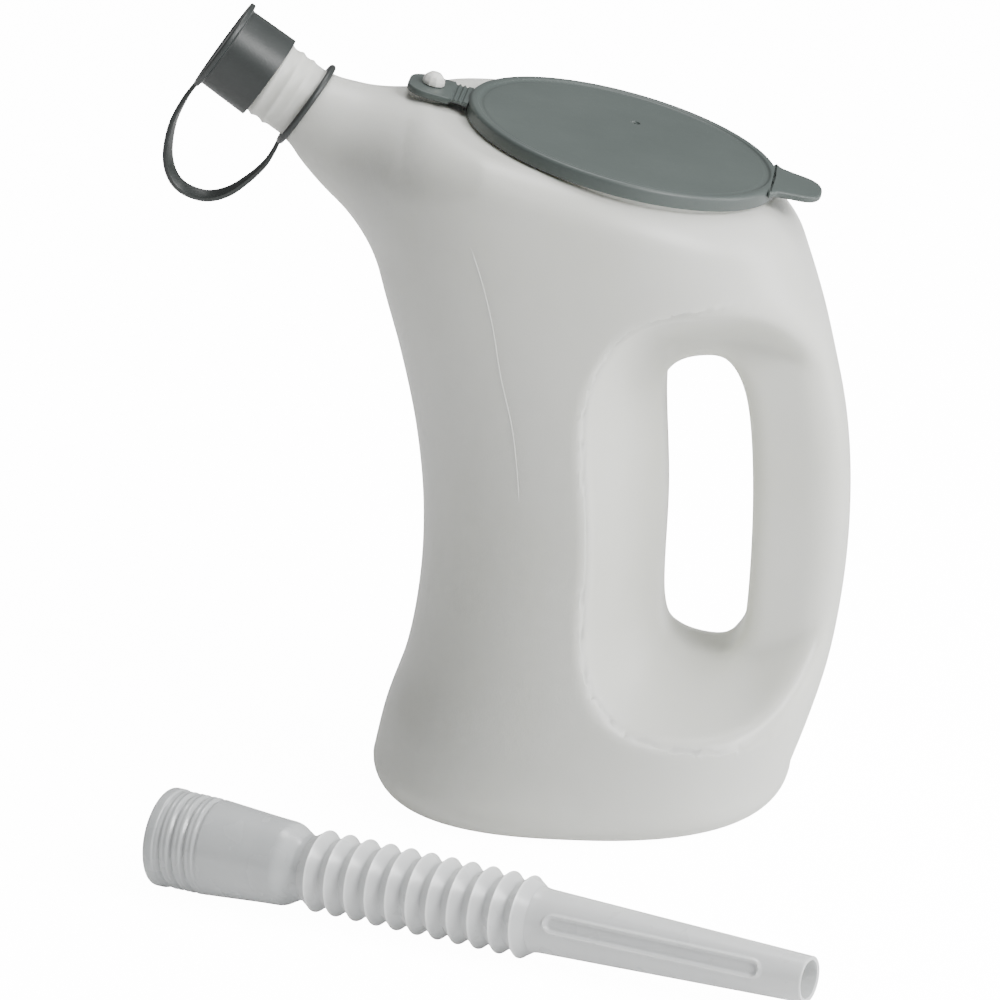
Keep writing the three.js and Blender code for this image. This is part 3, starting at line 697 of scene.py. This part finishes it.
def raised_line(name, path, width, height):
    """A low raised line moulded on the near side, along x, z points."""
    path = np.array(path, float)
    y = on_side(path[:, 0], path[:, 1])
    centre = np.stack([path[:, 0], y, path[:, 1]], 1)
    normal = gradient(jug_field, centre)
    normal /= np.linalg.norm(normal, axis=1, keepdims=True)
    tangent = np.gradient(centre, axis=0)
    tangent /= np.linalg.norm(tangent, axis=1, keepdims=True)
    side = np.cross(tangent, normal)
    side /= np.linalg.norm(side, axis=1, keepdims=True)
    shape = [(-0.5, -0.5), (-0.42, 0.35), (-0.2, 0.8), (0, 1.0), (0.2, 0.8), (0.42, 0.35), (0.5, -0.5)]
    grow = np.clip(np.minimum(np.arange(len(path)), np.arange(len(path))[::-1]) / 3.0, 0.25, 1)
    rings = [[centre[i] + side[i] * width * a * grow[i] + normal[i] * height * b * (grow[i] if b > 0 else 1)
              for a, b in shape] for i in range(len(path))]
    verts, faces = sweep([np.array(r) for r in rings])
    obj = make_object(name, verts, faces, RAISED_LINE_HIGHLIGHT)
    sharpen(obj, 50)
    return finish_piece(obj, "jug")


def make_scale():
    line = smooth_table([(112, -14.8), (124, -15.6), (136, -17), (152, -20.4), (170, -23.2), (184, -26.6),
                         (193, -29.4)])
    z = np.linspace(112, 193, 70)
    raised_line("scale_line", np.stack([line(z), z], 1), 0.62, 0.12)


# ---------------------------------------------------------------- lid, hinge, strap and stud
def tab_outline(inner, reach):
    half = [(inner, 15.2), (inner + 3.2, 12.9), (inner + 7.5, 11.4), (inner + 11.5, 10.2), (reach - 1.8, 7.8),
            (reach - 0.3, 4.2)]
    points = [(x, -y) for x, y in half] + [(reach, 0)] + half[::-1] + [(inner - 2, 0)]
    return closed_curve(points, 110)


def make_lid():
    profile = [[0, 3.5, 0], [47.4, 3.5, 0.7], [48.1, 0.7, 0.3], [49.35, 0.7, 0.35], [49.35, 4.6, 0.8],
               [48.6, 5.4, 0.8], [46.8, 5.4, 0.6], [46.2, 4.72, 0.5], [45.2, 4.66, 0.3], [44.6, 4.86, 0.3],
               [0, 4.86, 0]]
    lid = turned("lid_disc", rounded(profile, steps=5), 220, LID, material=GREY)
    verts, faces = plate(tab_outline(47.0, 63.3), 3.1, 5.4, 0.9, 5)
    tab = outward(make_object("tab", place(verts, LID), faces))
    trim = turned("trim", [[0, 0], [48.3, 0], [48.3, 9], [0, 9]], 220, LID)
    boolean(tab, [trim], "DIFFERENCE")
    gate = turned("gate", [[0, 4.2], [1.2, 4.2], [1.5, 4.9], [1.5, 6], [0, 6]], 24, LID, GATE_AT)
    boolean(lid, [tab], "UNION")
    boolean(lid, [gate], "DIFFERENCE")
    nib = turned("nib", [[0, 4.0], [0.55, 4.0], [0.45, 4.75], [0, 4.9]], 12, LID, GATE_AT)
    boolean(lid, [nib], "UNION")
    one_material(lid, GREY)
    sharpen(lid, 35)
    finish_piece(lid, "lid", ["lid"])


def make_anchor():
    half, low, high, r = 9.9, -68.7, -54.7, 7.0
    curve = []
    for start, side in ((90, 1), (180, -1)):
        for a in np.radians(np.linspace(start, start + 90, 12)):
            curve.append((low + r + r * math.cos(a), side * (half - r) + r * math.sin(a)))
    curve += [(low + r + k * (high - low - r) / 10, -half) for k in range(1, 11)]
    curve += [(high, -half + k * 2 * half / 14) for k in range(1, 14)]
    curve += [(high - k * (high - low - r) / 10, half) for k in range(10)]
    verts, faces = plate(np.array(curve), 2.25, 4.35, 0.45, 3)
    strap = outward(make_object("lid_anchor_strap", place(verts, LID), faces, GREY))
    hole = [[0, 0], [2.3, 0], [2.3, 4.0], [2.6, 4.4], [2.6, 8], [0, 8]]
    boolean(strap, [turned("hole", hole, 32, LID, STUD_AT)], "DIFFERENCE")
    one_material(strap, GREY)
    sharpen(strap, 40)
    finish_piece(strap, "jug", ["lid_anchor"])


def make_hinge():
    """The living hinge: a web with notches across it."""
    half = 8.9
    rings = []
    for u in np.linspace(-54.9, -48.9, 49):
        notch = min(abs(u + 54.0), abs(u + 52.5), abs(u + 51.0))
        top = 3.75 + 0.5 * min(1, max(0, (notch - 0.22) / 0.35))
        bottom = 3.12 - 0.25 * min(1, max(0, (abs(u + 52.5) - 1.2) / 1.0))
        across = np.linspace(-half, half, 9)
        ring = [(u, y, bottom) for y in across] + [(u, half + 0.12, (top + bottom) / 2)]
        ring += [(u, y, top) for y in across[::-1]] + [(u, -half - 0.12, (top + bottom) / 2)]
        rings.append(np.array(ring))
    verts, faces = sweep(rings)
    web = outward(make_object("lid_hinge_web", place(verts, LID), faces, GREY))
    sharpen(web, 35)
    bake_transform(web)
    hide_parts("lid_hinge")


def make_stud():
    profile = [[0, -6.4, 0], [1.9, -6.4, 0.4], [2.6, -4.2, 0.3], [1.95, -3.9, 0.1], [1.95, 4.6, 0.1],
               [3.5, 4.6, 0.25], [3.5, 5.9, 0.25], [2.9, 7.3, 0.3], [1.7, 8.3, 0.3], [0, 8.6, 0]]
    stud = turned("lid_stud_head", rounded(profile, steps=2), 10, LID, STUD_AT, WHITE)
    sharpen(stud, 24)
    finish_piece(stud, "jug", ["lid_stud"])


# ---------------------------------------------------------------- cap, ring and strap
def make_cap():
    profile = [[0, 30.4, 0], [13.2, 30.4, 0.5], [13.2, 14.0, 0.15], [13.95, 14.0, 0.3], [13.7, 30.0, 0.4],
               [15.45, 30.35, 0.35], [15.55, 31.9, 0.5], [13.2, 32.0, 0.3], [12.4, 31.5, 0.4], [0, 31.5, 0]]
    cap = turned("cap_shell", rounded(profile), 160, NECK, material=DARK)
    sharpen(cap, 35)
    finish_piece(cap, "cap", ["cap"])


def make_ring():
    section = [(RING_RADIUS + RING_SECTION * math.cos(a), RING_SECTION * math.sin(a))
               for a in np.linspace(0, 2 * np.pi, 20, endpoint=False)]
    loop = turned("tether_ring_loop", section, 120, NECK, material=DARK)
    finish_piece(loop, "jug", ["tether_ring"])


# the strap's middle line, as the distance below the neck's axis and along it
STRAP = [(15.0, 0), (18.6, -0.6), (23.6, -0.8), (30.6, 0.5), (38.0, 3.2), (43.3, 7.9), (45.5, 14.7),
         (44.0, 20.4), (39.0, 25.5), (30.3, 29.6), (21.6, 31.1), (15.2, 31.1)]


def make_strap():
    """Flat strap from the ring to the cap's flange, turned partly on edge along its outer bend."""
    curve = open_curve(STRAP, 110)
    path = np.stack([-curve[:, 0], np.zeros(len(curve)), curve[:, 1]], 1)
    tangent = np.gradient(path, axis=0)
    tangent /= np.linalg.norm(tangent, axis=1, keepdims=True)
    flat = np.array([0.0, 1.0, 0.0])
    width, corner = STRAP_HALF_WIDTH, STRAP_CORNER
    rings = []
    for i, (point, along) in enumerate(zip(path, tangent)):
        s = i / (len(path) - 1)
        normal = np.cross(flat, along)
        twist = STRAP_TWIST * math.exp(-((s - 0.56) / 0.26) ** 2)
        wide = flat * math.cos(twist) + normal * math.sin(twist)
        thick = normal * math.cos(twist) - flat * math.sin(twist)
        depth = 0.8 - 0.1 * math.cos(2 * math.pi * s)
        ring = []
        for cx, cy, quarter in ((1, 1, 0), (-1, 1, 90), (-1, -1, 180), (1, -1, 270)):
            for a in (0, 30, 60, 90):
                r = math.radians(quarter + a)
                ring.append(point + wide * (cx * (width - corner) + corner * math.cos(r))
                            + thick * (cy * (depth - corner) + corner * math.sin(r)))
        rings.append(np.array(ring))
    verts, faces = sweep(rings)
    strap = outward(make_object("tether_strap_band", place(verts, NECK), faces, DARK))
    sharpen(strap, 60)
    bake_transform(strap)
    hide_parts("tether_strap")


# ---------------------------------------------------------------- flexible spout
def coupling_grooves(r, z, angle):
    """Shallow helical grooves between bands, which fade out along a seam. The bore stays plain."""
    if r[0] < 14.2:
        return r
    seam = 1 - 0.9 * np.exp(-(((angle + 2.2) % (2 * np.pi) - np.pi) / 0.16) ** 2)
    turn = (z - 6.0) / 4.3
    phase = (turn - angle / (2 * np.pi)) % 1.0
    away = np.minimum(phase, 1 - phase) * 4.3
    fade = np.clip((z - 4.2) / 1.2, 0, 1) * np.clip((18.2 - z) / 1.6, 0, 1)
    groove = -0.75 * np.exp(-(away / 0.62) ** 2) + 0.22 * np.exp(-((away - 1.25) / 0.45) ** 2)
    return r + seam * fade * groove


def make_coupling():
    end = BELLOWS[0]
    outer = [[13.6, 0, 0.3], [15.35, 0, 0.5], [15.35, 3.0, 0.4], [14.9, 3.5, 0.3], [14.75, 18.5, 0.6],
             [13.35, 36.5, 0.8], [12.95, 43.6, 1.6], [11.2, 46.6, 1.2], [BELLOWS_END_RADIUS, 48.6, 0.6],
             [BELLOWS_END_RADIUS, end, 0]]
    inner = [[BELLOWS_END_BORE, end, 0], [BELLOWS_END_BORE, 48.4, 0.6], [11.5, 43.5, 1.2], [11.9, 37.5, 1.2],
             [13.2, 21.5, 1.0], [13.6, 18, 1]]
    path = rounded(outer + inner)
    fine = []
    for a, b in zip(path, np.roll(path, -1, 0)):
        grooved = 2.5 < (a[1] + b[1]) / 2 < 19.5
        pieces = max(1, int(np.linalg.norm(b - a) / 0.35)) if grooved else 1
        for k in range(pieces):
            fine.append(a + (b - a) * k / pieces)
    obj = turned("spout_coupling_sleeve", fine, 150, SPOUT, material=CLEAR, warp=coupling_grooves)
    sharpen(obj, 45)
    finish_piece(obj, "spout", ["spout_coupling"])


def make_bellows():
    outer, inner = [], []
    for k in range(RIDGES):
        peak = FIRST_RIDGE + k * PITCH
        valley = peak - PITCH / 2
        outer += [[9.9, valley, 0.45], [12.35, peak - 0.3, 0.1], [12.68, peak, 0.12],
                  [12.35, peak + 0.3, 0.1]]
        inner += [[9.15, valley, 0.45], [11.4, peak, 0.3]]
    outer[0] = [BELLOWS_END_RADIUS, BELLOWS[0], 0]
    inner[0] = [BELLOWS_END_BORE, BELLOWS[0], 0]
    outer.append([BELLOWS_END_RADIUS, BELLOWS[1], 0])
    inner.append([BELLOWS_END_BORE, BELLOWS[1], 0])
    profile = rounded(outer + inner[::-1], steps=3)
    obj = turned("spout_bellows_tube", profile, 96, SPOUT, material=RIBBED)
    sharpen(obj, 44)
    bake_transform(obj)
    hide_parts("spout_bellows")


def nozzle_radius(z):
    """Outside of the nozzle: a short collar at the root, a straight taper and a broken edge at the tip."""
    past_root = z - BELLOWS[1]
    taper = NOZZLE_ROOT_RADIUS - NOZZLE_TAPER * (past_root - NOZZLE_COLLAR)
    collar = BELLOWS_END_RADIUS - (BELLOWS_END_RADIUS - NOZZLE_ROOT_RADIUS) * past_root / NOZZLE_COLLAR
    return np.where(past_root < NOZZLE_COLLAR, collar, taper) - np.where(z > NOZZLE_TIP - 0.15, 0.2, 0)


def nozzle_flute(r, z, angle):
    """A long groove with a raised rim on the side that faces up. The bore stays plain."""
    root = BELLOWS[1]
    if r[0] < 5.9 or z[0] < root + 1 or r[0] < nozzle_radius(z)[0] - 0.5:
        return r
    lateral = ((angle - FLUTE_FACING + np.pi) % (2 * np.pi) - np.pi) * r
    along = np.maximum(np.maximum(root + 8.5 - z, z - (NOZZLE_TIP - 16.0)), 0)
    edge = np.hypot(lateral, along) - FLUTE_HALF_WIDTH
    groove = -0.6 / (1 + np.exp((edge + 0.2) / 0.16))
    return r + groove + 0.52 * np.exp(-((edge - 0.35) / 0.5) ** 2)


def make_nozzle():
    root, tip = BELLOWS[1], NOZZLE_TIP
    levels = [root, root + 0.8, root + 1.8, *np.linspace(root + 3, tip - 0.6, 150), tip - 0.2, tip]
    profile = [[float(nozzle_radius(z)), z] for z in levels] + [[5.8, tip - 0.3]]
    profile += [[float(nozzle_radius(z)) - NOZZLE_WALL, z] for z in np.linspace(tip - 2, root + 2, 24)]
    profile += [[BELLOWS_END_BORE, root]]
    obj = turned("spout_nozzle_tube", profile, 260, SPOUT, material=FLUTED, warp=nozzle_flute)
    sharpen(obj, 60)
    finish_piece(obj, "nozzle", ["spout_nozzle"])


# ---------------------------------------------------------------- studio
def floor_material():
    """Matt white floor that glows for the camera only, so it lights the object no more than a plain one."""
    material = bpy.data.materials.new("studio_floor")
    material.use_nodes = True
    nodes, links = material.node_tree.nodes, material.node_tree.links
    noise = nodes.new("ShaderNodeTexNoise")
    noise.inputs["Scale"].default_value = 3
    ramp = nodes.new("ShaderNodeValToRGB")
    ramp.color_ramp.elements[0].color = (0.90, 0.90, 0.90, 1)
    ramp.color_ramp.elements[1].color = (0.94, 0.94, 0.94, 1)
    links.new(noise.outputs["Fac"], ramp.inputs["Fac"])
    shader = nodes["Principled BSDF"]
    links.new(ramp.outputs["Color"], shader.inputs["Base Color"])
    shader.inputs["Roughness"].default_value = 0.9
    shader.inputs["Emission Color"].default_value = (1, 1, 1, 1)
    seen = nodes.new("ShaderNodeLightPath")
    glow = nodes.new("ShaderNodeMapRange")
    glow.inputs["To Min"].default_value = 0.12
    glow.inputs["To Max"].default_value = 14
    links.new(seen.outputs["Is Camera Ray"], glow.inputs["Value"])
    links.new(glow.outputs["Result"], shader.inputs["Emission Strength"])
    return material


def lamp(name, where, aim, size, power):
    data = bpy.data.lights.new(name, "AREA")
    data.shape = "RECTANGLE"
    data.size, data.size_y = size
    data.energy = power
    obj = bpy.data.objects.new(name, data)
    bpy.context.scene.collection.objects.link(obj)
    obj.location = where
    obj.rotation_euler = (Vector(aim) - Vector(where)).to_track_quat("-Z", "Y").to_euler()


def make_studio():
    bpy.ops.mesh.primitive_plane_add(size=12, location=(0, 0, 0))
    floor = bpy.context.object
    floor.name = "studio_floor"
    floor.data.materials.append(floor_material())
    world = bpy.data.worlds.new("studio")
    bpy.context.scene.world = world
    world.use_nodes = True
    world.node_tree.nodes["Background"].inputs["Color"].default_value = (1, 1, 1, 1)
    world.node_tree.nodes["Background"].inputs["Strength"].default_value = 0.26
    lamp("key", (1.25, -0.85, 1.15), (0, 0, 0.1), (0.8, 0.8), 43)
    lamp("top", (0.2, 0.3, 1.6), (0, 0, 0.1), (0.9, 0.6), 17)
    lamp("right", (1.5, 0.2, 0.45), (0, 0, 0.12), (0.4, 0.9), 15)


def make_camera():
    turn, rise, distance = math.radians(6), math.radians(19.0), 2.0
    sensor, focal_ratio = 36, 6.352
    target = Vector((-0.026, 0.0, 0.0946))
    back = Vector((math.sin(turn) * math.cos(rise), -math.cos(turn) * math.cos(rise), math.sin(rise)))
    data = bpy.data.cameras.new("camera")
    data.sensor_width = sensor
    data.lens = sensor * focal_ratio
    data.clip_end = 50
    camera = bpy.data.objects.new("camera", data)
    bpy.context.scene.collection.objects.link(camera)
    camera.location = target + back * distance
    camera.rotation_euler = (-back).to_track_quat("-Z", "Y").to_euler()
    bpy.context.scene.camera = camera


make_camera()
make_studio()
make_jug()
make_scale()
make_lid()
make_anchor()
make_hinge()
make_stud()
make_cap()
make_ring()
make_strap()
make_coupling()
make_bellows()
make_nozzle()
